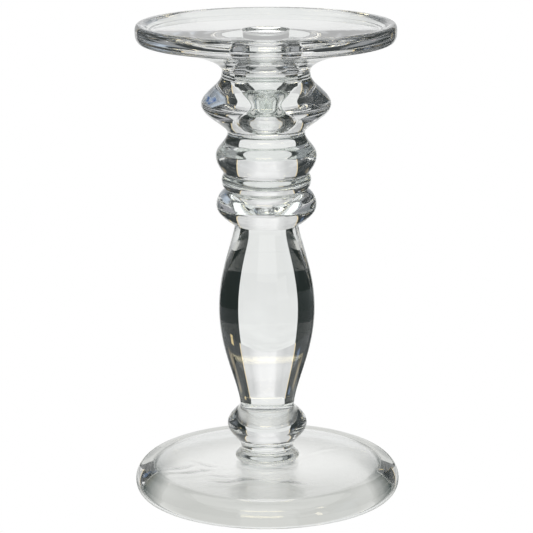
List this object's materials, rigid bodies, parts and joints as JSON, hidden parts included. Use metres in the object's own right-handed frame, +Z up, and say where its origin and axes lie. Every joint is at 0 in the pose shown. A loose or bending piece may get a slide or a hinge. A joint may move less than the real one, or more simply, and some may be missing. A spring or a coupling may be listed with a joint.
{
  "type": "glass candlestick",
  "caption": "Clear glass candlestick with a round foot, a knopped baluster stem and a wide rimmed plate for a pillar candle, with a blind central socket for a taper candle.",
  "frame": {"origin": "middle of the flat resting face of the foot", "axes": "+Z up along the axis of the stem, which is the axis of revolution; +X and +Y are any two directions across it"},
  "size_m": [0.129, 0.129, 0.228],
  "materials": {
    "foot_glass": "clear fire-polished soda-lime glass, faint chill wrinkles",
    "collar_glass": "clear fire-polished soda-lime glass",
    "foot_knop_glass": "clear fire-polished soda-lime glass",
    "baluster_glass": "clear fire-polished soda-lime glass",
    "lower_knop_glass": "clear fire-polished soda-lime glass",
    "ring_glass": "clear fire-polished soda-lime glass",
    "upper_knop_glass": "clear fire-polished soda-lime glass",
    "socket_glass": "clear fire-polished soda-lime glass with a faintly fluted seat",
    "plate_glass": "clear fire-polished soda-lime glass"
  },
  "bodies": {
    "root": {"foot": "foot_glass", "foot_collar": "collar_glass", "foot_knop": "foot_knop_glass", "baluster_stem": "baluster_glass", "lower_knop": "lower_knop_glass", "middle_ring": "ring_glass", "upper_knop": "upper_knop_glass", "socket_knop": "socket_glass", "pillar_plate": "plate_glass"}
  },
  "joints": []
}
